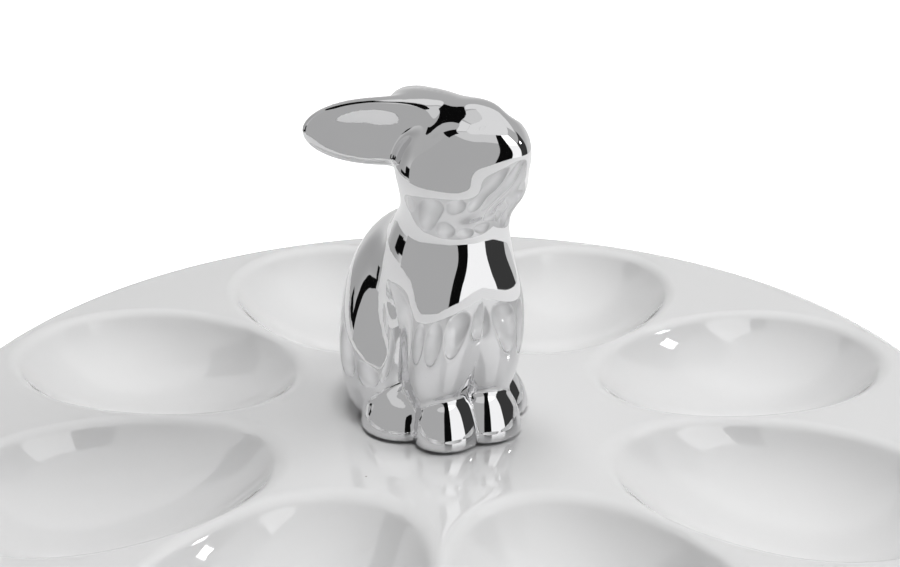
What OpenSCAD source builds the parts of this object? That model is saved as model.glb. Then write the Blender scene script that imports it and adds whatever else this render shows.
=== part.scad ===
// Round egg platter with eight egg-shaped wells and a seated rabbit that
// plugs into a hole in the middle.
// Sizes in millimetres. The platter stands on z = 0, its front is -Y.

/* [Platter] */
// Outside diameter of the platter
platter_d = 230; // [200:1:280]
// Height of the flat top above the table
platter_h = 24; // [20:0.5:34]
// Thickness of the flat plate; its edge is a full half round
plate_t = 7; // [5:0.5:10]
// Diameter of the foot ring underneath, to its outer side
foot_d = 144; // [100:1:180]
// Width of the foot ring
foot_w = 6; // [4:0.5:10]
// Diameter of the hub under the middle of the plate
hub_d = 26; // [22:0.5:40]
// Height of the hub from the flat top down to its lower face
hub_h = 14; // [12:0.5:18]

/* [Egg wells] */
// How many wells stand round the platter
well_count = 8; // [4:1:8]
// Flat land between a well and the edge of the platter
rim_land = 6.8; // [4:0.2:14]
// Half width of a well across its widest place
well_half_w = 25.9; // [20:0.1:27]
// Length of a well from its widest place to its blunt outer end
well_outer_len = 30.2; // [24:0.1:34]
// Length of a well from its widest place to its pointed inner end
well_inner_len = 39.2; // [30:0.1:44]
// Depth of a well below the flat top
well_depth = 14; // [10:0.5:16]
// Radius of the rounded lip of a well
lip_r = 4; // [2:0.25:6]
// How far the rounded lip reaches over the well's half width
lip_over = 1.2; // [0.4:0.1:2.5]
// Angle at which the lip runs into the flat top, in degrees
lip_angle = 20; // [10:1:35]
// Thickness of the well walls underneath
wall_t = 4.5; // [3:0.25:6]

/* [Plug] */
// Diameter of the peg that carries the rabbit
peg_d = 8; // [6:0.1:10]
// Length of the peg inside the rabbit
peg_in = 9.5; // [6:0.5:14]
// Diameter of the wider end of the peg that keeps the sleeve on
peg_end_d = 10; // [8.5:0.1:12]
// Thickness of the wider end
peg_end_t = 2.4; // [1.6:0.1:4]
// Bevel on the ends of the peg
peg_bevel = 0.6; // [0.2:0.1:1]
// Outside diameter of the soft sleeve
sleeve_d = 12; // [10:0.1:16]
// Length of the soft sleeve
sleeve_len = 12; // [8:0.5:16]
// How many grooves run round the sleeve
groove_count = 4; // [2:1:6]
// Radius of the sleeve grooves
groove_r = 0.6; // [0.3:0.1:1]

/* [Rabbit] */
// Height of the rabbit from its base to the crown of its head
rabbit_h = 72.8; // [50:0.2:100]
// Turn of the rabbit from the platter's front, in degrees
rabbit_turn = 26.5; // [0:0.5:359]
// Turn of the head against the body, in degrees
head_turn = 17.2; // [-20:0.2:20]
// Length of an ear as a share of the rabbit's height
ear_len_share = 0.5375; // [0.3:0.0025:0.6]
// Half width of an ear as a share of the rabbit's height
ear_half_w_share = 0.090; // [0.06:0.001:0.13]
// Half thickness of an ear as a share of the rabbit's height
ear_half_t_share = 0.050; // [0.035:0.001:0.08]
// Height of an ear's hollow face over the middle of the ear as a share of the rabbit's height
ear_face_share = 0.018; // [0:0.001:0.04]
// Rise of that face from its middle to the rim as a share of the rabbit's height
ear_bow_share = 0.018; // [0:0.001:0.04]
// Splay of the ears to the sides, in degrees
ear_splay = 17.1; // [0:0.1:60]
// Droop of the ears below level, in degrees
ear_droop = 8.6; // [0:0.1:40]
// Tilt of the ear hollows towards the ground, in degrees
ear_tilt = -5; // [-30:1:60]

/* [Fits] */
// Running clearance of the sleeve in the platter, on the radius
bore_gap = 0.05; // [0.01:0.01:0.1]
// Running clearance of the peg in the sleeve, on the radius
peg_gap = 0.05; // [0.01:0.01:0.1]
// Cement line between the peg and the rabbit's socket
cement_gap = 0.1; // [0.05:0.05:0.3]
// Space left above and below the sleeve
sleeve_gap = 0.3; // [0.1:0.1:1]

/* [Fineness] */
// Facets round the turned parts
turned_fn = 96; // [48:8:128]
// Directions round the rabbit
rabbit_rays = 80; // [48:4:88]
// Level rings from the rabbit's base up to its head
rabbit_levels = 40; // [28:1:44]
// Rings over the crown of the head
crown_rings = 16; // [8:1:18]
// Steps along and round an ear
ear_steps = 24; // [14:2:28]

/* [Hidden] */
// Lobes of the rabbit as shares of its height:
// aside, forward, up, half width, half length, half height, nose-down tilt in degrees
rump_share = [0, -0.167, 0.272, 0.234, 0.258, 0.337, -2];
chest_share = [0, 0.031, 0.477, 0.178, 0.212, 0.292, 0.5];
neck_share = [0, 0.069, 0.689, 0.146, 0.144, 0.163, 0];
skull_share = [0, 0.070, 0.930, 0.077, 0.259, 0.073, 6];
muzzle_share = [0, 0.168, 0.874, 0.121, 0.145, 0.137, 0];
tail_share = [0, -0.400, 0.130, 0.090, 0.083, 0.090, 0];
cheek_share = [0.064, 0.090, 0.796, 0.100, 0.166, 0.114, 9.5];
haunch_share = [0.127, -0.118, 0.150, 0.141, 0.170, 0.232, -16];
hind_foot_share = [0.125, -0.003, -0.038, 0.148, 0.140, 0.212, -2];
fore_leg_share = [0.071, 0.134, 0.292, 0.104, 0.090, 0.253, 11];
fore_paw_share = [0.065, 0.155, -0.017, 0.106, 0.091, 0.194, -7];
// Softness of the joins between lobes, as shares of the height
body_soft_share = 0.035;
head_soft_share = 0.022;
neck_soft_share = 0.018;
haunch_soft_share = 0.026;
limb_soft_share = 0.012;
// Crease where two limbs meet: its depth, and how far it spreads
crease_share = 0.006;
crease_w_share = 0.02;
// Groove down the front of a haunch: place ahead at its foremost level, that level,
// how fast it falls back above and below it, its ends, its inner end, depth and half width
fold_ahead_share = 0.045;
fold_up_share = 0.24;
fold_bow_share = 0.72;
fold_low_share = 0.13;
fold_high_share = 0.425;
fold_in_share = 0.10;
fold_deep_share = 0.026;
fold_wide_share = 0.013;
// Groove round the crown, an oval seen from above: its middle, half length and half width,
// its lowest level, its ends behind and ahead, depth and half width
brow_ahead_share = 0.10;
brow_len_share = 0.19;
brow_half_w_share = 0.075;
brow_low_share = 0.89;
brow_start_share = 0.06;
brow_end_share = 0.245;
brow_deep_share = 0.014;
brow_wide_share = 0.014;
// Length over which a groove fades out
fade_share = 0.012;
// Root of an ear: aside, forward, up
ear_root_share = [0.012, 0.103, 0.9185];
// Axis of the neck in front of the base middle, and of the crown
neck_axis_share = 0.0625;
crown_axis_share = 0.06;
// Level from which the crown is drawn, and the farthest reach looked at
crown_level_share = 0.84;
reach_share = 0.5;
halvings = 13;

platter_r = platter_d / 2;
plate_z = platter_h - plate_t;
edge_r = plate_t / 2;
foot_r = foot_d / 2;
hub_r = hub_d / 2;
hub_z = platter_h - hub_h;
well_ring_r = platter_r - rim_land - well_outer_len;
// The lip circle runs into the flat top at lip_angle and touches the bowl circle
lip_x = well_half_w + lip_over + lip_r * sin(lip_angle);
lip_z = -lip_r * cos(lip_angle);
bowl_drop = well_depth + lip_z;
bowl_r = (lip_x * lip_x + bowl_drop * bowl_drop - lip_r * lip_r) / (2 * (bowl_drop + lip_r));
bowl_z = bowl_r - well_depth;
touch_share = bowl_r / (bowl_r + lip_r);
touch_x = lip_x * touch_share;
touch_z = bowl_z + (lip_z - bowl_z) * touch_share;
mouth_x = well_half_w + lip_over;
// The lip circle bites a hair into the bowl circle, so the two cross and don't just touch
lip_bite_share = 0.005;
lip_bite = lip_r * lip_bite_share;
over = plate_t / 4;
peg_r = peg_d / 2;
peg_end_r = peg_end_d / 2;
sleeve_r = sleeve_d / 2;
sleeve_bore_r = peg_r + peg_gap;
bore_r = sleeve_r + bore_gap;
sleeve_top = platter_h - sleeve_gap;
sleeve_bottom = sleeve_top - sleeve_len;
peg_end_top = sleeve_bottom - sleeve_gap;
peg_bottom = peg_end_top - peg_end_t;
peg_top = platter_h + peg_in;
socket_r = peg_r + cement_gap;
socket_top = peg_top + cement_gap;
groove_step = sleeve_len / groove_count;

function total(list, i = 0) = i == len(list) ? 0 : list[i] + total(list, i + 1);
function soft_min(gaps, k) =
    let (least = min(gaps))
    least - k * ln(total([for (g = gaps) exp((least - g) / k)]));
function tip(p, a) = [p.x, p.y * cos(a) + p.z * sin(a), p.z * cos(a) - p.y * sin(a)];
function turn(p, a) = [p.x * cos(a) + p.y * sin(a), p.y * cos(a) - p.x * sin(a), p.z];
function fold(p) = [abs(p.x), p.y, p.z];
function over_each(q, r) = [q.x / r.x, q.y / r.y, q.z / r.z];

// Distance of a point from a lobe, below zero inside
function lobe_gap(p, s) =
    let (
        q = tip([p.x - s[0], p.y + s[1], p.z - s[2]], s[6]),
        r = [s[3], s[4], s[5]],
        a = over_each(q, r),
        near = norm(a),
        steep = norm(over_each(a, r))
    )
    steep == 0 ? -min(r) : near * (near - 1) / steep;

function head_frame(p) =
    turn([p.x, p.y + neck_axis_share, p.z], head_turn) - [0, neck_axis_share, 0];

function ramp(gap) = 1 / (1 + exp(-gap / fade_share));
function bell(off, wide) = exp(-off * off / (wide * wide));
function second_least(gaps) =
    let (least = min(gaps))
    min([for (g = gaps) if (g > least) g]);

// Depth of the groove down the front of a haunch, at a point of the folded body
function haunch_groove(p) =
    let (
        rise = p.z - fold_up_share,
        line = fold_ahead_share - fold_bow_share * rise * rise,
        span = ramp(p.z - fold_low_share) * ramp(fold_high_share - p.z) * ramp(p.x - fold_in_share)
    )
    span * fold_deep_share * bell(p.y + line, fold_wide_share);

// Depth of the groove round the crown, at a point of the folded head
function brow_groove(p) =
    let (
        r = [brow_half_w_share, brow_len_share],
        q = [p.x / r.x, (p.y + brow_ahead_share) / r.y],
        near = norm(q),
        steep = norm([q.x / r.x, q.y / r.y]),
        off = steep == 0 ? -r.x : near * (near - 1) / steep,
        span = ramp(p.z - brow_low_share) * ramp(-p.y - brow_start_share) * ramp(p.y + brow_end_share)
    )
    span * brow_deep_share * bell(off, brow_wide_share);

// Distance of a point from the whole figure without its ears
function figure_gap(p) =
    let (
        side = fold(p),
        h = head_frame(p),
        head_side = fold(h),
        body = soft_min([lobe_gap(p, rump_share), lobe_gap(p, chest_share)], body_soft_share),
        legs = soft_min([body, lobe_gap(side, fore_leg_share)], head_soft_share),
        flank = soft_min([legs, lobe_gap(side, haunch_share)], haunch_soft_share) + haunch_groove(side),
        face = soft_min([
            lobe_gap(h, skull_share),
            lobe_gap(h, muzzle_share),
            lobe_gap(h, neck_share),
            lobe_gap(head_side, cheek_share)
        ], head_soft_share) + brow_groove(head_side),
        lumps = [
            soft_min([flank, face], neck_soft_share),
            lobe_gap(side, hind_foot_share),
            lobe_gap(side, fore_paw_share),
            lobe_gap(p, tail_share)
        ],
        apart = second_least(lumps) - min(lumps)
    )
    soft_min(lumps, limb_soft_share) + crease_share * bell(apart, crease_w_share);

// Reach of the figure's skin from a point in a direction
function reach(from, way, low, high, left) =
    left == 0 ? (low + high) / 2 :
    let (middle = (low + high) / 2)
    figure_gap(from + way * middle) < 0
        ? reach(from, way, middle, high, left - 1)
        : reach(from, way, low, middle, left - 1);
function skin(from, way) = from + way * reach(from, way, 0, reach_share, halvings);

// The figure's middle line leans forward from the base to the crown
function spine(level) =
    [0, -crown_axis_share * min(1, level / crown_level_share) * level / crown_level_share, level];
function level_ring(level) =
    [for (i = [0 : rabbit_rays - 1])
        let (a = 360 * i / rabbit_rays)
        skin(spine(level), [cos(a), sin(a), 0])];
function crown_ring(lift) =
    [for (i = [0 : rabbit_rays - 1])
        let (a = 360 * i / rabbit_rays)
        skin(spine(crown_level_share), [cos(a) * cos(lift), sin(a) * cos(lift), sin(lift)])];

// Closed skin over rings of equal length, with a flat start and a pointed end
function band(rings, n) =
    [for (k = [0 : rings - 2]) for (i = [0 : n - 1])
        let (a = k * n + i, b = k * n + (i + 1) % n)
        each [[a, a + n, b], [b, a + n, b + n]]];
function start_cap(n) = [[for (i = [0 : n - 1]) i]];
function end_fan(first, n, point) = [for (i = [0 : n - 1]) [first + i, point, first + (i + 1) % n]];

module figure() {
    rings = concat(
        [for (k = [0 : rabbit_levels - 1]) level_ring(crown_level_share * k / rabbit_levels)],
        [for (k = [0 : crown_rings - 1]) crown_ring(90 * k / crown_rings)]
    );
    count = rabbit_levels + crown_rings;
    points = concat([for (ring = rings) each ring], [skin(spine(crown_level_share), [0, 0, 1])]);
    faces = concat(
        start_cap(rabbit_rays),
        band(count, rabbit_rays),
        end_fan((count - 1) * rabbit_rays, rabbit_rays, count * rabbit_rays)
    );
    polyhedron(points = points * rabbit_h, faces = faces);
}

// One ear as a leaf with a hollow on the side that faces out; side is 1 or -1
module ear(side) {
    along = [
        sin(ear_splay) * cos(ear_droop),
        cos(ear_splay) * cos(ear_droop),
        -sin(ear_droop)
    ];
    out = [cos(ear_splay), -sin(ear_splay), 0];
    rise = cross(out, along);
    face = out * cos(ear_tilt) - rise * sin(ear_tilt);
    wide = rise * cos(ear_tilt) + out * sin(ear_tilt);
    root = [ear_root_share.x, -ear_root_share.y, ear_root_share.z];
    // The ears have unequal steps, so their facets cross where the ears meet and don't just touch
    n = side > 0 ? ear_steps : ear_steps + 1;
    leaf = function (a, b)
        let (
            off = cos(a) * cos(a) + sin(a) * sin(a) * cos(b) * cos(b),
            hollow = ear_face_share + ear_bow_share * off
        )
        root + along * ear_len_share * (1 - cos(a)) / 2
            + wide * ear_half_w_share * sin(a) * cos(b)
            + face * min(ear_half_t_share * sin(a) * sin(b), hollow);
    points = concat(
        [for (k = [1 : n - 1]) for (i = [0 : n - 1]) leaf(180 * k / n, 360 * i / n)],
        [leaf(0, 0), leaf(180, 0)]
    );
    last = (n - 1) * n;
    faces = concat(
        [for (i = [0 : n - 1]) [(i + 1) % n, last, i]],
        band(n - 1, n),
        end_fan((n - 2) * n, n, last + 1)
    );
    placed = [for (p = points)
        let (h = [p.x * side, p.y, p.z] + [0, neck_axis_share, 0])
        (turn(h, -head_turn) - [0, neck_axis_share, 0]) * rabbit_h];
    turned = [for (f = faces) side > 0 ? f : [f[0], f[2], f[1]]];
    polyhedron(points = placed, faces = turned);
}

module bowl_profile() {
    difference() {
        union() {
            intersection() {
                translate([0, bowl_z])
                    circle(r = bowl_r);
                translate([0, -well_depth - over])
                    square([mouth_x, well_depth + 2 * over]);
            }
            polygon([
                [0, touch_z],
                [touch_x - lip_bite / 2, touch_z],
                [mouth_x, 0],
                [mouth_x, over],
                [0, over]
            ]);
        }
        translate([lip_x, lip_z])
            circle(r = lip_r + lip_bite);
    }
}

module shell_profile() {
    intersection() {
        translate([0, bowl_z])
            circle(r = bowl_r + wall_t);
        translate([0, -well_depth - wall_t - over])
            square([bowl_r + wall_t, well_depth + wall_t + over - edge_r]);
    }
}

// An egg shape from a round bowl: the two halves are stretched unequally along X
module egg_halves() {
    scale([well_outer_len / well_half_w, 1, 1])
        rotate([0, 0, -90])
            rotate_extrude(angle = 180, $fn = turned_fn)
                children();
    scale([well_inner_len / well_half_w, 1, 1])
        rotate([0, 0, 90])
            rotate_extrude(angle = 180, $fn = turned_fn)
                children();
}

module at_wells() {
    for (i = [0 : well_count - 1])
        rotate([0, 0, 360 * (i + 1 / 2) / well_count])
            translate([well_ring_r, 0, platter_h])
                children();
}

module plate_profile() {
    translate([0, plate_z])
        square([platter_r - edge_r, plate_t]);
    translate([platter_r - edge_r, plate_z + edge_r])
        circle(r = edge_r, $fn = turned_fn);
    translate([0, hub_z])
        square([hub_r, hub_h]);
    translate([foot_r - foot_w, 0])
        square([foot_w, platter_h - edge_r]);
}

module platter() {
    color("white")
    difference() {
        union() {
            rotate_extrude($fn = turned_fn)
                plate_profile();
            at_wells()
                egg_halves()
                    shell_profile($fn = turned_fn);
        }
        at_wells()
            egg_halves()
                bowl_profile($fn = turned_fn);
        translate([0, 0, hub_z - over])
            cylinder(r = bore_r, h = hub_h + 2 * over, $fn = turned_fn);
    }
}

module grip_sleeve() {
    color("gainsboro")
    translate([0, 0, sleeve_bottom])
        rotate_extrude($fn = turned_fn)
            difference() {
                translate([sleeve_bore_r, 0])
                    square([sleeve_r - sleeve_bore_r, sleeve_len]);
                for (i = [0 : groove_count - 1])
                    translate([sleeve_r, groove_step * (i + 1 / 2)])
                        circle(r = groove_r, $fn = turned_fn / 4);
            }
}

module peg() {
    color("ivory")
    rotate_extrude($fn = turned_fn)
        polygon([
            [0, peg_bottom],
            [peg_end_r - peg_bevel, peg_bottom],
            [peg_end_r, peg_bottom + peg_bevel],
            [peg_end_r, peg_end_top],
            [peg_r, peg_end_top],
            [peg_r, peg_top - peg_bevel],
            [peg_r - peg_bevel, peg_top],
            [0, peg_top]
        ]);
}

module rabbit() {
    color("silver")
    translate([0, 0, platter_h])
        difference() {
            rotate([0, 0, rabbit_turn])
                resize([0, 0, rabbit_h], auto = true) {
                    figure();
                    ear(1);
                    ear(-1);
                }
            translate([0, 0, -over])
                cylinder(r = socket_r, h = over + socket_top - platter_h, $fn = turned_fn);
        }
}

platter();
grip_sleeve();
peg();
rabbit();
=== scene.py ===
"""Looks of a round white egg platter with a silvered seated rabbit on a sleeved peg.

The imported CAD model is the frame. The platter and the rabbit are drawn again here
with finer surfaces, and each rides on its CAD body. The peg and its soft sleeve
keep their CAD meshes and get a finish.
Sizes in the classes are in millimetres; meshes are written in metres.
"""

import logging
import math
from collections.abc import Callable, Sequence
from dataclasses import dataclass
from enum import Enum

import bpy
import numpy as np
from bpy.types import ID, Material, Node, NodeSocket, NodeTree, Object
from mathutils import Matrix, Vector

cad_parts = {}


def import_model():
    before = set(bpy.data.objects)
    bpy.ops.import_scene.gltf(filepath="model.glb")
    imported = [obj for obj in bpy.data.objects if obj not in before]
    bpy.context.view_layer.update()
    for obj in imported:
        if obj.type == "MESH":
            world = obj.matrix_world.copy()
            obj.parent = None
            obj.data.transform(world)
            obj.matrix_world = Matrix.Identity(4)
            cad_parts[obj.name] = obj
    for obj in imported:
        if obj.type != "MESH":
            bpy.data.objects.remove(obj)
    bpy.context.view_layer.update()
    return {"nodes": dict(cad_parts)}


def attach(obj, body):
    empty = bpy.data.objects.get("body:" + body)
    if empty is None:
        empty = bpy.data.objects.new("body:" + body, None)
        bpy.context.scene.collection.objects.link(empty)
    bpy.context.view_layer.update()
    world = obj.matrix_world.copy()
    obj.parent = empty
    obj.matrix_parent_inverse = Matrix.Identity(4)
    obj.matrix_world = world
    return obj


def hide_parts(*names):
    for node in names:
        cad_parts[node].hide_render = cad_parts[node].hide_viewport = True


LOG = logging.getLogger("egg_platter")
MM = 0.001
TURN = 2.0 * math.pi
FRAME_W = 900  # pixels across the photograph
SENSOR_W = 36.0  # millimetres across the camera's sensor
EXP_LIMIT = 60.0  # largest exponent that is worked out
TINY = 1e-9  # keeps a divisor above nought
Points = np.ndarray
Faces = list[list[int]]
Strip = tuple[Points, Faces]
Pair = tuple[float, float]
Profile = Sequence[Pair]
Triple = tuple[float, float, float]


class Body(Enum):
    """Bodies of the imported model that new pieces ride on."""

    PLATTER = "platter"
    ORNAMENT = "ornament"


class Slot(Enum):
    """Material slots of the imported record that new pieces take."""

    GLAZE = "white_glaze"
    LUSTRE = "silver_lustre"


class Ease(Enum):
    """Ways from one end of a span of values to the other."""

    EVEN = "LINEAR"
    SMOOTH = "SMOOTHSTEP"


# Shader helpers


class NodeBench:
    """A node tree with short ways to add nodes and join their sockets."""

    # A colour Mix node's sockets by number, because its other kinds have the same names.
    MIX_SHARE, MIX_FIRST, MIX_SECOND, MIX_RESULT = 0, 6, 7, 2

    def __init__(self, tree: NodeTree) -> None:
        """Takes the tree that nodes are added to."""
        self.tree = tree

    def add(self, kind: str, inputs: dict[str | int, object] | None = None, **settings: object) -> Node:
        """Adds a node and sets its properties and inputs.

        Args:
            kind: Blender's node type name.
            inputs: sockets or plain values for the node's inputs, by name or number.
            settings: properties of the node by name.

        Returns:
            The new node.
        """
        node = self.tree.nodes.new(kind)
        for name, value in settings.items():
            setattr(node, name, value)
        for place, value in (inputs or {}).items():
            self.join(value, node.inputs[place])
        return node

    def join(self, source: object, target: NodeSocket) -> None:
        """Links an output socket to an input socket, or sets that input to a plain value."""
        if isinstance(source, NodeSocket):
            self.tree.links.new(source, target)
        else:
            target.default_value = source

    def math(self, operation: str, first: object, second: object) -> NodeSocket:
        """Adds a Math node on sockets or plain numbers.

        Args:
            operation: the Math node's operation.
            first: first operand, a socket or a number.
            second: second operand, a socket or a number.

        Returns:
            The node's output socket.
        """
        return self.add("ShaderNodeMath", {0: first, 1: second}, operation=operation).outputs[0]

    def noise(self, where: NodeSocket, scale: object, detail: float) -> NodeSocket:
        """Adds a noise texture with a socket or a number as its scale, and returns its value."""
        inputs = {"Vector": where, "Scale": scale, "Detail": detail}
        return self.add("ShaderNodeTexNoise", inputs).outputs["Fac"]

    def mix(self, share: NodeSocket, first: object, second: object) -> NodeSocket:
        """Adds a mix of two colours.

        Args:
            share: the second colour's share.
            first: first colour, a socket or three numbers.
            second: second colour, a socket or three numbers.

        Returns:
            The mixed colour's socket.
        """
        first, second = ((*c, 1.0) if isinstance(c, tuple) else c for c in (first, second))
        inputs = {self.MIX_SHARE: share, self.MIX_FIRST: first, self.MIX_SECOND: second}
        return self.add("ShaderNodeMix", inputs, data_type="RGBA").outputs[self.MIX_RESULT]

    def spread(self, value: NodeSocket, taken: Pair, given: Pair, ease: Ease = Ease.EVEN) -> NodeSocket:
        """Maps one span of values onto another.

        Args:
            value: the socket to map.
            taken: the span's ends in the value.
            given: what is put out at those ends.
            ease: the way between the ends.

        Returns:
            The mapped value's socket.
        """
        ends = dict(zip(("From Min", "From Max", "To Min", "To Max"), (*taken, *given)))
        node = self.add("ShaderNodeMapRange", {"Value": value, **ends}, interpolation_type=ease.value)
        return node.outputs["Result"]

    def bump(self, height: NodeSocket, depth: float) -> NodeSocket:
        """Adds a bump of a depth in millimetres and returns its normal."""
        inputs = {"Strength": 1.0, "Distance": depth * MM, "Height": height}
        return self.add("ShaderNodeBump", inputs).outputs["Normal"]

    def where(self) -> NodeSocket:
        """Adds the object's own coordinates and returns their socket."""
        return self.add("ShaderNodeTexCoord").outputs["Object"]

    def rays(self) -> tuple[NodeSocket, NodeSocket]:
        """Masks of rays from the camera, and of rays off mirrors and through glass."""
        path = self.add("ShaderNodeLightPath")
        mirrors = self.math("ADD", path.outputs["Is Glossy Ray"], path.outputs["Is Transmission Ray"])
        return path.outputs["Is Camera Ray"], mirrors

    def surface(self, shader: Node, kind: str = "ShaderNodeOutputMaterial") -> None:
        """Puts a shader on the surface of a new output node."""
        self.add(kind, {"Surface": shader.outputs[0]})


def empty_material(name: str) -> tuple[Material, NodeBench]:
    """Makes a material with an empty node tree.

    Args:
        name: the material's name.

    Returns:
        The material and its bench.
    """
    material = bpy.data.materials.new(name)
    material.use_nodes = True
    material.node_tree.nodes.clear()
    return material, NodeBench(material.node_tree)


SPECK_INPUTS = {"Speck Cells": 90.0, "Speck Size": 0.05, "Tone Scale": 14.0, "Ripple Scale": 60.0}
SPECK_FREE = 0.86  # share of the cells that have no speck
SPECK_DETAIL = {"Tone": 3.0, "Ripple": 1.0}


def speck_group() -> NodeTree:
    """Builds the shared group of fine specks and slow unevenness of a fired surface.

    Returns:
        A group with a speck mask, a slow tone, and a fine ripple height.
    """
    name = "FiredSurface"
    found = bpy.data.node_groups.get(name)
    if found:
        return found
    tree = bpy.data.node_groups.new(name, "ShaderNodeTree")
    for label, value in SPECK_INPUTS.items():
        socket = tree.interface.new_socket(label, in_out="INPUT", socket_type="NodeSocketFloat")
        socket.default_value = value
    for label in ("Speck", *SPECK_DETAIL):
        tree.interface.new_socket(label, in_out="OUTPUT", socket_type="NodeSocketFloat")
    bench = NodeBench(tree)
    inputs, outputs = bench.add("NodeGroupInput"), bench.add("NodeGroupOutput")
    where = bench.where()
    spacing = {"Vector": where, "Scale": inputs.outputs["Speck Cells"]}
    cells = bench.add("ShaderNodeTexVoronoi", spacing, feature="F1")
    near = bench.math("LESS_THAN", cells.outputs["Distance"], inputs.outputs["Speck Size"])
    split = bench.add("ShaderNodeSeparateColor", {"Color": cells.outputs["Color"]})
    rare = bench.math("GREATER_THAN", split.outputs[0], SPECK_FREE)
    bench.join(bench.math("MULTIPLY", near, rare), outputs.inputs["Speck"])
    for label, detail in SPECK_DETAIL.items():
        noise = bench.noise(where, inputs.outputs[f"{label} Scale"], detail)
        bench.join(noise, outputs.inputs[label])
    return tree


@dataclass(frozen=True)
class FiredFinish:
    """A fired surface: white glaze, or silver lustre over glaze."""

    name: str
    light: Triple
    dark: Triple
    speck: Triple
    metallic: float
    rough_low: float
    rough_high: float
    ripple: float
    speck_cells: float
    speck_size: float
    tone_scale: float
    ripple_scale: float
    coat: float = 0.0
    coat_rough: float = 0.03
    ior: float = 1.52

    def material(self) -> Material:
        """Builds the material and returns it."""
        material, bench = empty_material(self.name)
        sizes = (self.speck_cells, self.speck_size, self.tone_scale, self.ripple_scale)
        group = bench.add("ShaderNodeGroup", dict(zip(SPECK_INPUTS, sizes)), node_tree=speck_group())
        tone = bench.mix(group.outputs["Tone"], self.dark, self.light)
        shader = bench.add("ShaderNodeBsdfPrincipled", {
            "Base Color": bench.mix(group.outputs["Speck"], tone, self.speck),
            "Roughness": bench.spread(group.outputs["Tone"], (0.0, 1.0), (self.rough_low, self.rough_high)),
            "Normal": bench.bump(group.outputs["Ripple"], self.ripple),
            "Metallic": self.metallic,
            "IOR": self.ior,
            "Coat Weight": self.coat,
            "Coat Roughness": self.coat_rough,
        })
        bench.surface(shader)
        return material


@dataclass(frozen=True)
class MouldedFinish:
    """A moulded plain part: plastic peg or soft silicone.

    cloud is how many grains wide the slow patches of tone are.
    """

    name: str
    light: Triple
    dark: Triple
    rough_low: float
    rough_high: float
    grain: float
    grain_scale: float
    soft: float
    soft_reach: float = 4.0
    cloud: float = 9.0
    cloud_detail: float = 2.0
    grain_detail: float = 3.0

    def material(self) -> Material:
        """Builds the material and returns it."""
        material, bench = empty_material(self.name)
        where = bench.where()
        slow = bench.noise(where, self.grain_scale / self.cloud, self.cloud_detail)
        fine = bench.noise(where, self.grain_scale, self.grain_detail)
        shader = bench.add("ShaderNodeBsdfPrincipled", {
            "Base Color": bench.mix(slow, self.dark, self.light),
            "Roughness": bench.spread(fine, (0.0, 1.0), (self.rough_low, self.rough_high)),
            "Normal": bench.bump(fine, self.grain),
            "Subsurface Weight": self.soft,
            "Subsurface Radius": (self.soft_reach * MM,) * 3,
        })
        bench.surface(shader)
        return material


WHITE_GLAZE = FiredFinish(
    name="white_glaze", light=(0.70, 0.70, 0.70), dark=(0.67, 0.67, 0.675), speck=(0.34, 0.33, 0.32),
    metallic=0.0, rough_low=0.03, rough_high=0.06, ripple=0.04, speck_cells=70.0, speck_size=0.016,
    tone_scale=11.0, ripple_scale=38.0, coat=1.0,
)
SILVER_LUSTRE = FiredFinish(
    name="silver_lustre", light=(0.76, 0.76, 0.765), dark=(0.71, 0.71, 0.72), speck=(0.10, 0.10, 0.10),
    metallic=1.0, rough_low=0.015, rough_high=0.05, ripple=0.04, speck_cells=160.0, speck_size=0.030,
    tone_scale=60.0, ripple_scale=220.0,
)
PEG_PLASTIC = MouldedFinish(
    name="peg_plastic", light=(0.72, 0.69, 0.62), dark=(0.66, 0.63, 0.56),
    rough_low=0.36, rough_high=0.52, grain=0.02, grain_scale=1500.0, soft=0.05,
)
SOFT_SILICONE = MouldedFinish(
    name="soft_silicone", light=(0.70, 0.71, 0.72), dark=(0.62, 0.63, 0.64),
    rough_low=0.48, rough_high=0.66, grain=0.015, grain_scale=2200.0, soft=0.25,
)


# Mesh helpers


def linked(name: str, data: ID) -> Object:
    """Makes an object of a mesh, lamp or camera, links it to the scene and returns it."""
    thing = bpy.data.objects.new(name, data)
    bpy.context.scene.collection.objects.link(thing)
    return thing


def mesh_object(name: str, points: Points, faces: Faces) -> Object:
    """Makes a mesh object at the origin from points in millimetres.

    Args:
        name: the object's name.
        points: vertex positions, n by 3, in millimetres.
        faces: vertex indices of each face, outwards.

    Returns:
        The linked object.
    """
    mesh = bpy.data.meshes.new(name)
    mesh.from_pydata((points * MM).tolist(), [], faces)
    mesh.update()
    return linked(name, mesh)


def grid_faces(rows: int, columns: int, first: int = 0, closed: bool = False) -> Faces:
    """Faces of a grid of points stored row by row.

    Args:
        rows: number of rows.
        columns: points in each row.
        first: index of the grid's first point.
        closed: whether each row runs round to its start.

    Returns:
        Quads as lists of four indices.
    """
    faces = []
    wide = columns if closed else columns - 1
    for r in range(rows - 1):
        for c in range(wide):
            d = (c + 1) % columns
            faces.append([first + r * columns + c, first + r * columns + d,
                          first + (r + 1) * columns + d, first + (r + 1) * columns + c])
    return faces


def flipped(faces: Faces) -> Faces:
    """The same faces seen from their other side."""
    return [face[::-1] for face in faces]


def swept(profile: Profile, angles: Points) -> Points:
    """Points of a profile that is turned about the upright axis.

    Args:
        profile: radius and height of each row.
        angles: angles of the points in a row, in radians.

    Returns:
        Points row by row, n by 3.
    """
    return np.concatenate([
        np.column_stack([np.cos(angles) * r, np.sin(angles) * r, np.full(len(angles), z)]) for r, z in profile
    ])


def full_ring(steps: int) -> Points:
    """Even angles once round, without the repeated last one."""
    return np.linspace(0, TURN, steps + 1)[:-1]


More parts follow.
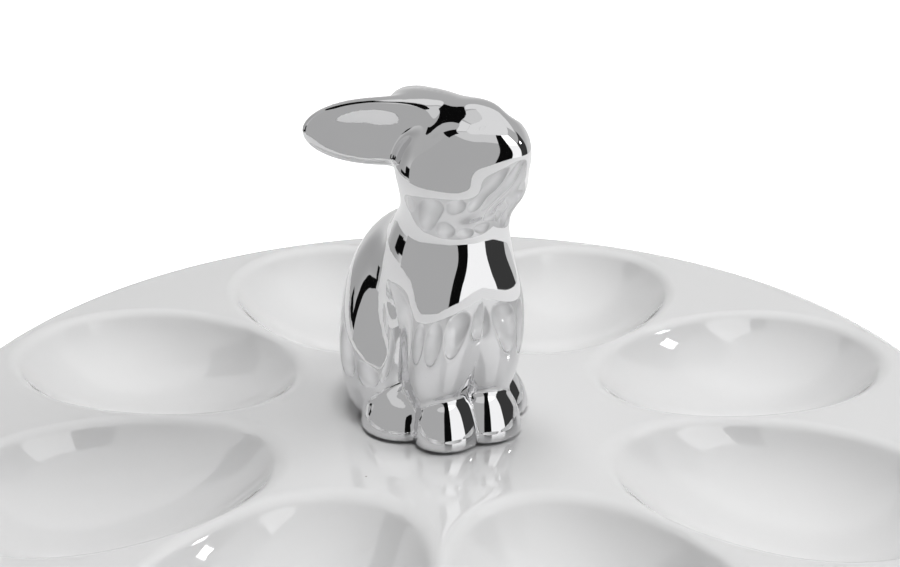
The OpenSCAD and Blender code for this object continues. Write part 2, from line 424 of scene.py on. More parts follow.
@dataclass
class SkinNet:
    """Draws the zero surface of a distance field as a net of quads.

    gap is the field, below zero inside; step is the net's mesh width. The net's points
    then settle on the surface in a few short moves.
    """

    gap: Callable[[Points], Points]
    step: float
    probe: float = 0.02
    settle_moves: int = 4
    least_steep: float = 0.05
    longest_move: float = 0.4

    def slope(self, points: Points) -> Points:
        """Gradient of the field at points, by central differences."""
        out = np.empty_like(points)
        for axis in range(3):
            shift = np.zeros(3)
            shift[axis] = self.probe
            out[:, axis] = (self.gap(points + shift) - self.gap(points - shift)) / (2 * self.probe)
        return out

    def sample(self, low: Triple, high: Triple) -> Points:
        """Values of the field at the corners of the cells that fill a box."""
        axes = [np.arange(a, b + self.step, self.step) for a, b in zip(low, high)]
        plane = np.stack(np.meshgrid(axes[0], axes[1], indexing="ij"), -1).reshape(-1, 2)
        layers = [self.gap(np.column_stack([plane, np.full(len(plane), z)])) for z in axes[2]]
        return np.stack(layers, -1).reshape([len(a) for a in axes])

    def cells_round(self, cut: Points, axis: int) -> list[tuple[Points, ...]]:
        """Indices of the four cells round each cut grid line, in order round it."""
        u, v = (i for i in range(3) if i != axis)
        found = []
        for du, dv in ((1, 1), (0, 1), (0, 0), (1, 0)):
            cell = cut.copy()
            cell[:, u] -= du
            cell[:, v] -= dv
            found.append(tuple(cell.T))
        return found

    def settled(self, points: Points) -> Points:
        """Points moved along the slope onto the surface."""
        for _ in range(self.settle_moves):
            slope = self.slope(points)
            steep = np.maximum((slope ** 2).sum(1), self.least_steep)
            move = np.clip(self.gap(points) / steep, -self.longest_move, self.longest_move)
            points = points - slope * move[:, None]
        return points

    def draw(self, low: Triple, high: Triple) -> tuple[Points, Faces, Points]:
        """Draws the net inside a box.

        Args:
            low: lowest corner in millimetres.
            high: highest corner in millimetres.

        Returns:
            Points, quads and unit normals.
        """
        values = self.sample(low, high)
        inside = values < 0
        cells = tuple(n - 1 for n in values.shape)
        total, count = np.zeros((*cells, 3)), np.zeros(cells)
        cuts: list[tuple[Points, int, Points]] = []
        for axis in range(3):
            near, far = [slice(None)] * 3, [slice(None)] * 3
            near[axis], far[axis] = slice(0, -1), slice(1, None)
            cut = np.argwhere(inside[tuple(near)] != inside[tuple(far)])
            va, vb = values[tuple(near)][tuple(cut.T)], values[tuple(far)][tuple(cut.T)]
            place = cut.astype(float)
            place[:, axis] += va / (va - vb)
            keep = np.all([(cut[:, i] > 0) & (cut[:, i] < cells[i]) for i in range(3) if i != axis], axis=0)
            cut, place, va = cut[keep], place[keep], va[keep]
            for cell in self.cells_round(cut, axis):
                np.add.at(total, cell, place)
                np.add.at(count, cell, 1)
            cuts.append((cut, axis, va < 0))
        active = tuple(np.argwhere(count > 0).T)
        number = np.full(cells, -1)
        number[active] = np.arange(len(active[0]))
        points = total[active] / count[active][:, None] * self.step + np.array(low)
        faces: Faces = []
        for cut, axis, outward in cuts:
            block = np.stack([number[cell] for cell in self.cells_round(cut, axis)], 1)
            turn = outward if axis == 1 else ~outward
            block[turn] = block[turn][:, ::-1]
            faces += block.tolist()
        points = self.settled(points)
        slope = self.slope(points)
        return points, faces, slope / np.linalg.norm(slope, axis=1)[:, None]


def plain_copy(source: Object, name: str) -> Object:
    """Turns an object with modifiers into a plain mesh object and removes the source.

    Args:
        source: the object to evaluate.
        name: name of the new object.

    Returns:
        A linked object with the evaluated mesh.
    """
    graph = bpy.context.evaluated_depsgraph_get()
    mesh = bpy.data.meshes.new_from_object(source.evaluated_get(graph))
    mesh.name = name
    thing = linked(name, mesh)
    bpy.data.objects.remove(source)
    return thing


def settle(piece: Object, body: Body, node: str) -> Object:
    """Puts a piece on its body and in the place of a CAD node, and returns it."""
    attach(piece, body.value)
    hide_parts(node)
    return piece


# Platter


@dataclass
class Platter:
    """Round platter with a ring of egg-shaped wells, drawn as one sector and repeated.

    The fields from ridge_soft on soften joins and edges and set out the mesh.
    """

    radius: float = 115.0
    height: float = 24.0
    plate_t: float = 7.0
    well_count: int = 8
    rim_land: float = 6.8
    well_half_w: float = 25.9
    well_outer_len: float = 30.2
    well_inner_len: float = 39.2
    well_depth: float = 14.0
    lip_r: float = 4.0
    lip_over: float = 1.2
    lip_share: float = 0.34
    wall_t: float = 4.5
    foot_r: float = 72.0
    foot_w: float = 6.0
    foot_bite: float = 1.5
    hub_r: float = 13.0
    hub_h: float = 14.0
    bore_r: float = 6.05
    core_r: float = 17.0
    core_inset: float = 5.0
    ridge_soft: float = 0.6
    bulge_soft: float = 1.2
    bulge_clear: float = 1.0
    foot_soft: float = 1.6
    bore_soft: float = 0.6
    hub_soft: float = 1.5
    seam: float = 0.002
    rim_steps: int = 35
    side_steps: int = 39
    core_steps: int = 13
    foot_steps: int = 49
    edge_steps: int = 17
    corner_steps: int = 7
    bowl_rings: int = 30
    lip_rings: int = 14
    lip_before: float = 1.0
    lip_after: float = 0.5
    under_rings: int = 22
    under_share: float = 0.86
    ring_share: float = 0.97
    upper_land: int = 12
    lower_land: int = 10
    finish: FiredFinish = WHITE_GLAZE

    def __post_init__(self) -> None:
        """Works out the circles of the bowl and its lip."""
        self.edge_r = self.plate_t / 2
        self.rim_r = self.radius - self.edge_r
        self.ring_r = self.radius - self.rim_land - self.well_outer_len
        self.half_turn = math.pi / self.well_count
        self.lip_x = self.well_half_w + self.lip_over + self.lip_r * self.lip_share
        drop = self.well_depth - self.lip_r
        self.bowl_r = (self.lip_x ** 2 + drop ** 2 - self.lip_r ** 2) / (2 * self.well_depth)
        self.bowl_z = self.bowl_r - self.well_depth
        self.touch = self.lip_x * self.bowl_r / (self.bowl_r + self.lip_r)

    def stretch(self, x: Points) -> Points:
        """Stretch along the well's length, by which end a point lies towards."""
        return np.where(x >= 0, self.well_outer_len, self.well_inner_len) / self.well_half_w

    def well_z(self, x: Points, y: Points) -> Points:
        """Height of the upper face against the flat top, with soft ridges between wells.

        Args:
            x: places along the well's length, outwards, from its widest place.
            y: places across it.

        Returns:
            Heights, none above zero.
        """
        radius, angle = np.hypot(x + self.ring_r, y), np.arctan2(y, x + self.ring_r)
        sunk = np.ones_like(radius)
        for step in (-1, 0, 1):
            turned = angle - 2 * self.half_turn * step
            along, across = radius * np.cos(turned) - self.ring_r, radius * np.sin(turned)
            lone = self.lone_well_z(np.hypot(along / self.stretch(along), across))
            sunk += np.expm1(-lone / self.ridge_soft)
        return -self.ridge_soft * np.log(sunk)

    def lone_well_z(self, rho: Points) -> Points:
        """Height of the upper face near one well, by stretched distance from its middle."""
        bowl = self.bowl_z - np.sqrt(np.maximum(self.bowl_r ** 2 - rho ** 2, 0))
        lip = -self.lip_r + np.sqrt(np.maximum(self.lip_r ** 2 - (rho - self.lip_x) ** 2, 0))
        return np.where(rho < self.touch, bowl, np.where(rho < self.lip_x, lip, 0.0))

    def under_z(self, x: Points, y: Points) -> Points:
        """Height of the lower face against the flat top, softened where the bulge meets the plate."""
        rho = np.hypot(x / self.stretch(x), y)
        outer = self.bowl_r + self.wall_t
        bulge = self.bowl_z - np.sqrt(np.maximum(outer ** 2 - np.minimum(rho, outer) ** 2, 0))
        bulge = np.where(rho < outer, bulge, self.bulge_clear)
        gap = np.clip((bulge + self.plate_t) / self.bulge_soft, -EXP_LIMIT, EXP_LIMIT)
        return -self.plate_t - self.bulge_soft * np.log1p(np.exp(-gap))

    def border(self) -> Points:
        """Points round the edge of one sector, from its outer arc anticlockwise."""
        h = self.half_turn
        outer = [(self.rim_r, a) for a in np.linspace(-h, h, self.rim_steps)[:-1]]
        right = [(r, h) for r in np.linspace(self.rim_r, self.core_r, self.side_steps)[:-1]]
        inner = [(self.core_r, a) for a in np.linspace(h, -h, self.core_steps)[:-1]]
        left = [(r, -h) for r in np.linspace(self.core_r, self.rim_r, self.side_steps)[:-1]]
        r, a = np.array(outer + right + inner + left).T
        return np.column_stack([r * np.cos(a) - self.ring_r, r * np.sin(a)])

    def face_grid(self, rings: Points, land: int, height: Callable[[Points, Points], Points]) -> Strip:
        """One face of the sector as rings round the well out to the sector's edge.

        Args:
            rings: distances of the inner rings from the well's middle.
            land: number of rings from there to the edge.
            height: height of the face by place along and across the well.

        Returns:
            Points and faces that point upwards.
        """
        edge = self.border()
        unit = np.column_stack([edge[:, 0] / self.stretch(edge[:, 0]), edge[:, 1]])
        reach = np.linalg.norm(unit, axis=1)
        unit = unit / reach[:, None]
        squeeze = np.minimum(1.0, self.ring_share * reach / rings[-1])
        last = rings[-1] * squeeze
        rows = [unit * (r * squeeze)[:, None] for r in rings[1:]]
        rows += [unit * (last + (reach - last) * k / land)[:, None] for k in range(1, land + 1)]
        flat = np.concatenate([np.zeros((1, 2)), *rows])
        x = flat[:, 0] * self.stretch(flat[:, 0])
        points = np.column_stack([x + self.ring_r, flat[:, 1], self.height + height(x, flat[:, 1])])
        n = len(edge)
        faces = [[0, 1 + i, 1 + (i + 1) % n] for i in range(n)]
        return points, faces + flipped(grid_faces(len(rows), n, 1, closed=True))

    def turned(self, profile: Profile, steps: int) -> Strip:
        """A turned strip of the sector from a profile of radius and height."""
        angles = np.linspace(-self.half_turn, self.half_turn, steps)
        return swept(profile, angles), grid_faces(len(profile), steps)

    def rounded(self, middle: Pair, radius: float, start: float, stop: float) -> Profile:
        """Points of an arc about a circle's middle, angles in degrees."""
        angles = np.radians(np.linspace(start, stop, self.corner_steps))
        return [(middle[0] + radius * math.cos(a), middle[1] + radius * math.sin(a)) for a in angles]

    def edge_profile(self) -> Profile:
        """The rim's half-round edge, from its underside to the flat top."""
        middle = self.height - self.edge_r
        return [(self.rim_r + self.edge_r * math.cos(a), middle + self.edge_r * math.sin(a))
                for a in np.linspace(-math.pi / 2, math.pi / 2, self.edge_steps)]

    def core_profile(self) -> Profile:
        """The middle, from the flat top down the bore and round the hub to the plate's underside."""
        top, low, hub = self.height, self.height - self.plate_t, self.height - self.hub_h
        bore, soft, fillet = self.bore_r + self.bore_soft, self.bore_soft, self.hub_soft
        return [
            (self.core_r, top), (self.core_r - self.core_inset, top), (bore, top),
            *self.rounded((bore, top - soft), soft, 90, 180),
            *self.rounded((bore, hub + soft), soft, 180, 270),
            *self.rounded((self.hub_r - fillet, hub + fillet), fillet, -90, 0),
            *self.rounded((self.hub_r + fillet, low - fillet), fillet, 180, 90),
            (self.core_r, low),
        ]

    def foot_strip(self) -> Strip:
        """The foot ring's share of the sector, closed at its top inside the wall."""
        low, high, soft = self.foot_r - self.foot_w, self.foot_r, self.foot_soft
        profile = [
            (high, 0.0),
            *self.rounded((high - soft, soft), soft, 0, -90),
            *self.rounded((low + soft, soft), soft, -90, -180),
            (low, 0.0), (high, 0.0),
        ]
        points, faces = self.turned(profile, self.foot_steps)
        rows = points.reshape(len(profile), self.foot_steps, 3)
        for row in (rows[0], rows[-2], rows[-1]):
            row[:, 2] = self.height + self.under_z(row[:, 0] - self.ring_r, row[:, 1]) + self.foot_bite
        return points, flipped(faces)

    def sector(self) -> Strip:
        """All strips of one sector as one list of points and faces."""
        fall = np.concatenate([
            np.linspace(0, self.touch - self.lip_before, self.bowl_rings),
            np.linspace(self.touch, self.lip_x, self.lip_rings),
            [self.lip_x + self.lip_after],
        ])
        under = np.linspace(0, self.bowl_r * self.under_share, self.under_rings)
        upper = self.face_grid(fall, self.upper_land, self.well_z)
        lower, lower_faces = self.face_grid(under, self.lower_land, self.under_z)
        rim = self.turned(self.edge_profile(), self.rim_steps)
        core = self.turned(self.core_profile(), self.core_steps)
        # The strips' rows at the underside take the lower face's height, so that the seams close.
        for row in (rim[0][:self.rim_steps], core[0][-self.core_steps:]):
            row[:, 2] = self.height + self.under_z(row[:, 0] - self.ring_r, row[:, 1])
        points: list[Points] = []
        faces: Faces = []
        count = 0
        for strip_points, strip_faces in (upper, (lower, flipped(lower_faces)), rim, core, self.foot_strip()):
            points.append(strip_points)
            faces += [[i + count for i in f] for f in strip_faces]
            count += len(strip_points)
        return np.concatenate(points), faces

    def ring_tree(self) -> NodeTree:
        """Geometry Nodes tree that repeats a sector round the middle and joins the seams.

        Returns:
            A tree with inputs for the count, the seam distance and the finish.
        """
        tree = bpy.data.node_groups.new("SectorRing", "GeometryNodeTree")
        kinds = {"Geometry": "Geometry", "Count": "Int", "Seam": "Float", "Finish": "Material"}
        for label, kind in kinds.items():
            tree.interface.new_socket(label, in_out="INPUT", socket_type=f"NodeSocket{kind}")
        tree.interface.new_socket("Geometry", in_out="OUTPUT", socket_type="NodeSocketGeometry")
        bench = NodeBench(tree)
        inputs, outputs = bench.add("NodeGroupInput"), bench.add("NodeGroupOutput")
        spots = bench.add("GeometryNodePoints", {"Count": inputs.outputs["Count"]})
        angle = bench.math("DIVIDE", TURN, inputs.outputs["Count"])
        half_sector = 0.5
        place = bench.math("ADD", bench.add("GeometryNodeInputIndex").outputs[0], half_sector)
        turn = bench.add("ShaderNodeCombineXYZ", {"Z": bench.math("MULTIPLY", angle, place)})
        copies = bench.add("GeometryNodeInstanceOnPoints", {
            "Points": spots.outputs[0],
            "Instance": inputs.outputs["Geometry"],
            "Rotation": turn.outputs[0],
        })
        made = copies.outputs[0]
        for kind, values in (
            ("GeometryNodeRealizeInstances", {}),
            ("GeometryNodeMergeByDistance", {"Distance": inputs.outputs["Seam"]}),
            ("GeometryNodeSetShadeSmooth", {}),
            ("GeometryNodeSetMaterial", {"Material": inputs.outputs["Finish"]}),
        ):
            made = bench.add(kind, {"Geometry": made, **values}).outputs[0]
        bench.join(made, outputs.inputs["Geometry"])
        return tree

    def build(self) -> Object:
        """Draws the whole platter and puts it on its body.

        Returns:
            The finished piece.
        """
        points, faces = self.sector()
        seed = mesh_object("platter_sector", points, faces)
        tree = self.ring_tree()
        modifier = seed.modifiers.new("ring", "NODES")
        modifier.node_group = tree
        wanted = {"Count": self.well_count, "Seam": self.seam * MM, "Finish": self.finish.material()}
        for item in tree.interface.items_tree:
            if item.in_out == "INPUT" and item.name in wanted:
                modifier[item.identifier] = wanted[item.name]
        whole = plain_copy(seed, "egg_platter")
        return settle(whole, Body.PLATTER, "platter")


# Rabbit


def egg_gap(q: Points, half: Points) -> Points:
    """Distance of points from an egg about the origin with these half sizes, below zero inside."""
    near = np.linalg.norm(q / half, axis=1)
    return near * (near - 1.0) / (np.linalg.norm(q / half ** 2, axis=1) + TINY)


@dataclass(frozen=True)
class Lobe:
    """An egg-shaped lump of the figure, as shares of its height.

    side, ahead and up place its middle; wide, long and tall are half sizes;
    tilt tips its front down, in degrees.
    """

    side: float
    ahead: float
    up: float
    wide: float
    long: float
    tall: float
    tilt: float = 0.0

    def gap(self, p: Points) -> Points:
        """Distance of points from the lobe, below zero inside."""
        a = math.radians(self.tilt)
        x, y, z = p[:, 0] - self.side, p[:, 1] + self.ahead, p[:, 2] - self.up
        q = np.column_stack([x, y * math.cos(a) + z * math.sin(a), z * math.cos(a) - y * math.sin(a)])
        return egg_gap(q, np.array([self.wide, self.long, self.tall]))


def soft_min(gaps: list[Points], k: float) -> Points:
    """Smooth least of several distances; k is the softness of the join."""
    stack = np.stack(gaps)
    least = stack.min(0)
    return least - k * np.log(np.exp((least - stack) / k).sum(0))


def safe_exp(power: Points) -> Points:
    """Exponential with its power kept within limits."""
    return np.exp(np.clip(power, -EXP_LIMIT, EXP_LIMIT))


def ramp(gap: Points, soft: float) -> Points:
    """Smooth step from nought to one as a distance passes zero."""
    return 1.0 / (1.0 + safe_exp(-gap / soft))


def fold(p: Points) -> Points:
    """Points with their left half mirrored onto the right."""
    return np.column_stack([np.abs(p[:, 0]), p[:, 1], p[:, 2]])


@dataclass
class Rabbit:
    """Seated rabbit with ears laid back, drawn from soft lobes.

    Lobes, joins, grooves and ears are shares of the height; turns are in degrees;
    the base, the socket and the net are in millimetres.
    """

    tall: float = 72.8
    crown_share: float = 1.011
    base_z: float = 24.0
    turn: float = 26.5
    head_turn: float = 17.2
    neck_axis: float = 0.0625
    rump: Lobe = Lobe(0, -0.167, 0.272, 0.234, 0.258, 0.337, -2)
    chest: Lobe = Lobe(0, 0.031, 0.477, 0.178, 0.212, 0.292, 0.5)
    neck: Lobe = Lobe(0, 0.069, 0.689, 0.146, 0.144, 0.163)
    skull: Lobe = Lobe(0, 0.070, 0.930, 0.077, 0.259, 0.073, 6)
    muzzle: Lobe = Lobe(0, 0.168, 0.874, 0.121, 0.145, 0.137)
    tail: Lobe = Lobe(0, -0.400, 0.130, 0.090, 0.083, 0.090)
    cheek: Lobe = Lobe(0.064, 0.090, 0.796, 0.100, 0.166, 0.114, 9.5)
    haunch: Lobe = Lobe(0.127, -0.118, 0.150, 0.141, 0.170, 0.232, -16)
    hind_foot: Lobe = Lobe(0.125, -0.003, -0.038, 0.148, 0.140, 0.212, -2)
    fore_leg: Lobe = Lobe(0.071, 0.134, 0.292, 0.104, 0.090, 0.253, 11)
    fore_paw: Lobe = Lobe(0.065, 0.155, -0.017, 0.106, 0.091, 0.194, -7)
    body_soft: float = 0.035
    head_soft: float = 0.022
    neck_soft: float = 0.018
    limb_soft: float = 0.012
    haunch_soft: float = 0.026
    fold_ahead: float = 0.045
    fold_up: float = 0.24
    fold_bow: float = 0.72
    fold_low: float = 0.13
    fold_high: float = 0.425
    fold_in: float = 0.10
    fold_deep: float = 0.026
    fold_wide: float = 0.013
    brow_ahead: float = 0.10
    brow_len: float = 0.19
    brow_half_w: float = 0.075
    brow_low: float = 0.89
    brow_start: float = 0.06
    brow_end: float = 0.245
    brow_deep: float = 0.014
    brow_wide: float = 0.028
    fade: float = 0.012
    crease: float = 0.006
    crease_w: float = 0.02
    ear_root: Triple = (0.012, 0.103, 0.9225)
    ear_len: float = 0.5375
    ear_half_w: float = 0.096
    ear_half_t: float = 0.050
    ear_face: float = 0.018
    ear_bow: float = 0.018
    ear_rim: float = 0.006
    ear_splay: float = 17.1
    ear_droop: float = 8.6
    ear_tilt: float = -5.0
    base_soft: float = 0.8
    socket_r: float = 4.1
    socket_deep: float = 9.6
    net_step: float = 0.60
    net_low: Triple = (-24.0, -26.0, -1.5)
    net_high: Triple = (24.0, 39.0, 75.0)
    finish: FiredFinish = SILVER_LUSTRE

    def head_frame(self, p: Points) -> Points:
        """Points seen from the turned head."""
        c, s = math.cos(math.radians(self.head_turn)), math.sin(math.radians(self.head_turn))
        x, y = p[:, 0], p[:, 1] + self.neck_axis
        return np.column_stack([x * c + y * s, y * c - x * s - self.neck_axis, p[:, 2]])

    def ear_gap(self, p: Points) -> Points:
        """Distance from the ear on the points' own side, a leaf with a hollow face."""
        splay, droop, tilt = (math.radians(v) for v in (self.ear_splay, self.ear_droop, self.ear_tilt))
        level = math.cos(droop)
        along = np.array([math.sin(splay) * level, math.cos(splay) * level, -math.sin(droop)])
        out = np.array([math.cos(splay), -math.sin(splay), 0.0])
        rise = np.cross(out, along)
        face = out * math.cos(tilt) - rise * math.sin(tilt)
        wide = rise * math.cos(tilt) + out * math.sin(tilt)
        root = np.array([self.ear_root[0], -self.ear_root[1], self.ear_root[2]])
        half = self.ear_len / 2
        q = p - (root + along * half)
        q = np.column_stack([q @ along, q @ wide, q @ face])
        leaf = egg_gap(q, np.array([half, self.ear_half_w, self.ear_half_t]))
        off = (q[:, 0] / half) ** 2 + (q[:, 1] / self.ear_half_w) ** 2
        face_gap = q[:, 2] - self.ear_face - self.ear_bow * off
        return -soft_min([-leaf, -face_gap], self.ear_rim)

    def figure_gap(self, p: Points) -> Points:
        """Distance of points, as shares of the height, from the whole figure."""
        side, head = fold(p), self.head_frame(p)
        head_side = fold(head)
        body = soft_min([self.rump.gap(p), self.chest.gap(p)], self.body_soft)
        legs = soft_min([body, self.fore_leg.gap(side)], self.head_soft)
        flank = soft_min([legs, self.haunch.gap(side)], self.haunch_soft) + self.haunch_groove(side)
        mask = [self.muzzle.gap(head), self.neck.gap(head), self.cheek.gap(head_side), self.skull.gap(head)]
        face = soft_min(mask, self.head_soft) + self.brow_groove(head_side)
        core = soft_min([flank, face, self.ear_gap(head_side)], self.neck_soft)
        lumps = [core, self.hind_foot.gap(side), self.fore_paw.gap(side), self.tail.gap(p)]
        near = np.partition(np.stack(lumps), 1, axis=0)
        joint = np.exp(-((near[1] - near[0]) / self.crease_w) ** 2)
        return soft_min(lumps, self.limb_soft) + self.crease * joint

    def haunch_groove(self, p: Points) -> Points:
        """Depth of the carved line down the front of each haunch."""
        line = self.fold_ahead - self.fold_bow * (p[:, 2] - self.fold_up) ** 2
        span = ramp(p[:, 2] - self.fold_low, self.fade) * ramp(self.fold_high - p[:, 2], self.fade)
        span = span * ramp(p[:, 0] - self.fold_in, self.fade)
        return span * self.fold_deep * np.exp(-((p[:, 1] + line) / self.fold_wide) ** 2)

    def brow_groove(self, p: Points) -> Points:
        """Depth of the carved line round the crown, above the cheeks and the muzzle."""
        q = np.column_stack([p[:, 0], p[:, 1] + self.brow_ahead])
        off = egg_gap(q, np.array([self.brow_half_w, self.brow_len]))
        span = ramp(p[:, 2] - self.brow_low, self.fade) * ramp(-p[:, 1] - self.brow_start, self.fade)
        span = span * ramp(p[:, 1] + self.brow_end, self.fade)
        return span * self.brow_deep * np.exp(-(off / self.brow_wide) ** 2)

    def skin_gap(self, p: Points) -> Points:
        """Distance in millimetres from the figure on its flat base, with the peg's socket."""
        share = self.tall / self.crown_share
        whole = self.figure_gap(p / share) * share
        k = self.base_soft
        based = k * np.log(safe_exp(whole / k) + safe_exp(-p[:, 2] / k))
        socket = np.minimum(self.socket_r - np.hypot(p[:, 0], p[:, 1]), self.socket_deep - p[:, 2])
        return np.maximum(based, socket)

    def build(self) -> Object:
        """Draws the figure, turns it and puts it on its body.

        Returns:
            The finished piece.
        """
        net = SkinNet(self.skin_gap, self.net_step)
        points, faces, normals = net.draw(self.net_low, self.net_high)
        points[:, 2] = np.maximum(points[:, 2], 0.0)
        c, s = math.cos(math.radians(self.turn)), math.sin(math.radians(self.turn))
        spin = np.array([[c, s, 0], [-s, c, 0], [0, 0, 1]])
        points, normals = points @ spin, normals @ spin
        points[:, 2] += self.base_z
        piece = mesh_object("silver_rabbit", points, faces)
        piece.data.shade_smooth()
        piece.data.normals_split_custom_set_from_vertices(normals.tolist())
        piece.data.materials.append(self.finish.material())
        return settle(piece, Body.ORNAMENT, "rabbit")


# Stage


def grey(tone: float) -> tuple[float, float, float, float]:
    """A full grey of a tone."""
    return tone, tone, tone, 1.0


def mirror_only(thing: Object) -> Object:
    """Keeps a stage piece to reflections, and returns it."""
    for ray in ("camera", "diffuse", "shadow", "transmission"):
        setattr(thing, f"visible_{ray}", False)
    return thing


@dataclass(frozen=True)
class Card:
    """A curved card round the object that shows only in reflections.

    Angles are counted from the camera's side, to the right, in degrees. The profile
    gives radius and height.
    """

    name: str
    start: float
    stop: float
    profile: tuple[Pair, ...]
    tone: float
    steps: int = 25
    camera_side: float = -90.0

    def build(self) -> Object:
        """Draws the card and returns it."""
        angles = np.radians(np.linspace(self.start, self.stop, self.steps) + self.camera_side)
        card = mesh_object(self.name, swept(self.profile, angles), grid_faces(len(self.profile), self.steps))
        material, bench = empty_material(self.name)
        bench.surface(bench.add("ShaderNodeEmission", {"Color": grey(self.tone)}))
        card.data.materials.append(material)
        return mirror_only(card)


@dataclass(frozen=True)
class Lamp:
    """A soft square lamp that lights the object and doesn't show in mirrors."""

    name: str
    place: Triple
    side: float
    watts: float

    def build(self, target: Vector) -> Object:
        """Hangs the lamp and points it at a place in metres.

        Args:
            target: the place that it looks at.

        Returns:
            The lamp's object.
        """
        data = bpy.data.lights.new(self.name, "AREA")
        data.shape = "SQUARE"
        data.size = self.side * MM
        data.energy = self.watts
        lamp = linked(self.name, data)
        lamp.location = Vector(self.place) * MM
        lamp.visible_glossy = False
        lamp.rotation_euler = (target - lamp.location).to_track_quat("-Z", "Y").to_euler()
        return lamp


CARDS = (
    Card("card_front", -104, 3, ((290, 1), (900, 1), (900, 760)), 0.50),
    Card("card_front_top", -104, 3, ((900, 760), (900, 1300), (760, 1504)), 0.76),
    Card("card_frame_near", 3, 24, ((300, 2), (880, 2), (880, 1300), (760, 1480)), 0.004),
    Card("card_window", 24, 64, ((300, 2), (860, 3), (860, 760)), 1.2),
    Card("card_window_top", 24, 64, ((860, 760), (860, 1300), (760, 1490)), 2.0),
    Card("card_lamp", 88.5, 95.5, ((700, 550), (690, 640)), 14.0),
    Card("card_above", -180, 180, ((760, 1505), (1, 1505)), 0.90),
    Card("card_above_far", 110, 250, ((1150, 1300), (760, 1504)), 0.90),
    Card("card_frame_far", 64, 118, ((320, 2), (880, 4), (880, 900)), 0.05),
    Card("card_gap", -112, -104, ((400, 2), (880, 2), (880, 90)), 0.004),
    Card("card_gap_low", -124, -112, ((380, 2), (540, 2)), 0.004),
    Card("card_gap_high", -126, -94, ((870, 520), (870, 980)), 0.004),
)
LAMPS = (
    Lamp("lamp_key", (800, 60, 680), 520, 4.2),
    Lamp("lamp_above", (0, 60, 1400), 500, 15.2),
)


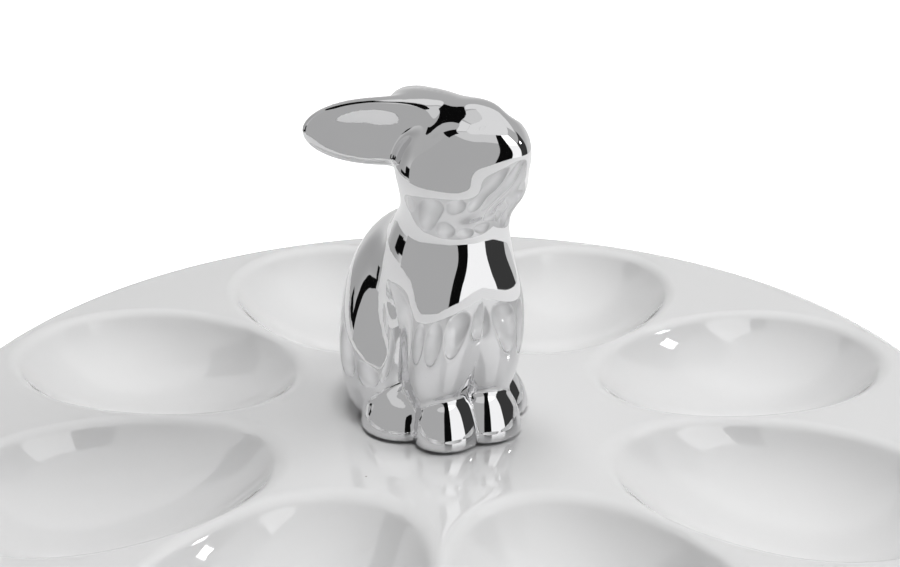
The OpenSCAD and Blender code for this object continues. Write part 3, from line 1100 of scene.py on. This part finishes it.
@dataclass
class Studio:
    """Floor, soft lamps, reflection cards and the camera of the photograph.

    focal_px to roll are the camera's fit, with pan and tilt as slopes and roll in radians.
    Tones are shares of white.
    """

    top_z: float = 24.0
    focal_px: float = 1546.65
    raise_deg: float = 27.177
    distance: float = 338.4
    azimuth: float = 1.13
    pan: float = 0.0031
    tilt: float = 0.0852
    roll: float = -0.0037
    clip: Pair = (10.0, 50000.0)
    floor_rings: Triple = (200.0, 1500.0, 9000.0)
    floor_steps: int = 96
    floor_tone: float = 0.8
    floor_near: float = 0.45
    floor_mirrored: float = 0.05
    floor_fade: Pair = (300.0, 1500.0)
    dome_reach: float = 3000.0
    dome_foot: float = 320.0
    dome_lift: float = 0.5
    dome_top: float = 88.0
    dome_rows: int = 13
    dome_steps: int = 48
    dome_low: float = 0.70
    dome_high: float = 0.52
    dome_fade: float = 0.4
    shade_side: Triple = (-0.788, 0.616, 0.0)
    shade_edge: float = 0.91
    shade_tone: float = 0.62
    surround: float = 0.08
    cards: tuple[Card, ...] = CARDS
    lamps: tuple[Lamp, ...] = LAMPS

    def floor(self) -> Object:
        """Draws the pale floor, white to the camera, the more so far off, with its shadow kept."""
        rings, steps = [(r, 0.0) for r in self.floor_rings], self.floor_steps
        faces = [list(range(steps)), *flipped(grid_faces(len(rings), steps, 0, closed=True))]
        floor = mesh_object("floor", swept(rings, full_ring(steps)), faces)
        material, bench = empty_material("floor_paper")
        paper = bench.add("ShaderNodeBsdfDiffuse", {"Color": grey(self.floor_tone)})
        away = bench.add("ShaderNodeVectorMath", {0: bench.where()}, operation="LENGTH")
        reach = (self.floor_fade[0] * MM, self.floor_fade[1] * MM)
        fade = bench.spread(away.outputs["Value"], reach, (self.floor_near, 1.0), Ease.SMOOTH)
        camera, mirrors = bench.rays()
        mirrored = bench.math("MULTIPLY", mirrors, self.floor_mirrored)
        level = bench.math("ADD", bench.math("MULTIPLY", camera, fade), mirrored)
        glow = bench.add("ShaderNodeEmission", {"Strength": level})
        bench.surface(bench.add("ShaderNodeAddShader", {0: paper.outputs[0], 1: glow.outputs[0]}))
        floor.data.materials.append(material)
        return floor

    def dome(self) -> Object:
        """Draws the pale sweep that the silvered figure mirrors, from the table up to a dome."""
        lifts = np.radians(np.linspace(0, self.dome_top, self.dome_rows))
        reach, lift = self.dome_reach, self.dome_lift
        bow = [(reach * math.cos(t), reach * math.sin(t) + lift) for t in lifts]
        profile = [(self.dome_foot, lift), *bow]
        points = swept(profile, full_ring(self.dome_steps))
        dome = mesh_object("dome", points, grid_faces(len(profile), self.dome_steps, 0, closed=True))
        material, bench = empty_material("dome_light")
        where = bench.where()
        split = bench.add("ShaderNodeSeparateXYZ", {"Vector": where})
        rise = (0.0, reach * MM * self.dome_fade)
        level = bench.spread(split.outputs["Z"], rise, (self.dome_low, self.dome_high), Ease.SMOOTH)
        away = bench.add("ShaderNodeVectorMath", {0: where}, operation="NORMALIZE")
        pair = {0: away.outputs["Vector"], 1: self.shade_side}
        side = bench.add("ShaderNodeVectorMath", pair, operation="DOT_PRODUCT")
        band, tones = (self.shade_edge, 1.0), (1.0, self.shade_tone)
        shade = bench.spread(side.outputs["Value"], band, tones, Ease.SMOOTH)
        strength = bench.math("MULTIPLY", level, shade)
        bench.surface(bench.add("ShaderNodeEmission", {"Strength": strength}))
        dome.data.materials.append(material)
        return mirror_only(dome)

    def world(self) -> None:
        """Sets a pale even surround, white to the camera and in mirrors."""
        world = bpy.data.worlds.new("surround")
        bpy.context.scene.world = world
        world.use_nodes = True
        world.node_tree.nodes.clear()
        bench = NodeBench(world.node_tree)
        level = bench.spread(bench.math("ADD", *bench.rays()), (0.0, 1.0), (self.surround, 1.0))
        glow = bench.add("ShaderNodeBackground", {"Color": grey(1.0), "Strength": level})
        bench.surface(glow, "ShaderNodeOutputWorld")

    def camera(self) -> Object:
        """Sets the camera that was fitted to the photograph's rim and wells."""
        raised, side = math.radians(self.raise_deg), math.radians(self.azimuth)
        level = math.cos(raised)
        back = Vector((math.sin(side) * level, -math.cos(side) * level, math.sin(raised)))
        forward = -back
        right = Vector((math.cos(side), math.sin(side), 0.0))
        up = right.cross(forward)
        forward = (forward + right * self.pan + up * self.tilt).normalized()
        right = forward.cross(Vector((0, 0, 1))).normalized()
        up = right.cross(forward)
        c, s = math.cos(self.roll), math.sin(self.roll)
        right, up = right * c + up * s, up * c - right * s
        data = bpy.data.cameras.new("camera")
        data.sensor_width = SENSOR_W
        data.lens = self.focal_px / FRAME_W * SENSOR_W
        data.clip_start, data.clip_end = (reach * MM for reach in self.clip)
        camera = linked("camera", data)
        place = (back * self.distance + Vector((0, 0, self.top_z))) * MM
        turned = Matrix((right, up, -forward)).transposed()
        camera.matrix_world = Matrix.Translation(place) @ turned.to_4x4()
        bpy.context.scene.camera = camera
        return camera

    def build(self) -> None:
        """Sets up the whole stage."""
        self.camera()
        self.floor()
        self.world()
        self.dome()
        for lamp in self.lamps:
            lamp.build(Vector((0, 0, self.top_z * MM)))
        for card in self.cards:
            card.build()
        bpy.context.scene.view_settings.view_transform = "Standard"


def dress(frame: dict, node: str, finish: MouldedFinish) -> Object:
    """Gives a carried-over CAD node its finish.

    Args:
        node: the CAD node's name.
        finish: the finish to put on it.

    Returns:
        The node's object.
    """
    thing = frame["nodes"][node]
    thing.data.materials.clear()
    thing.data.materials.append(finish.material())
    return thing


def main() -> None:
    """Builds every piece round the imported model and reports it."""
    logging.basicConfig(level=logging.INFO, format="%(name)s: %(message)s")
    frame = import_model()
    Studio().build()
    pieces = [
        Platter().build(),
        Rabbit().build(),
        dress(frame, "peg", PEG_PLASTIC),
        dress(frame, "grip_sleeve", SOFT_SILICONE),
    ]
    for piece in pieces:
        LOG.info("%s: %d faces", piece.name, len(piece.data.polygons))


if __name__ == "__main__":
    main()
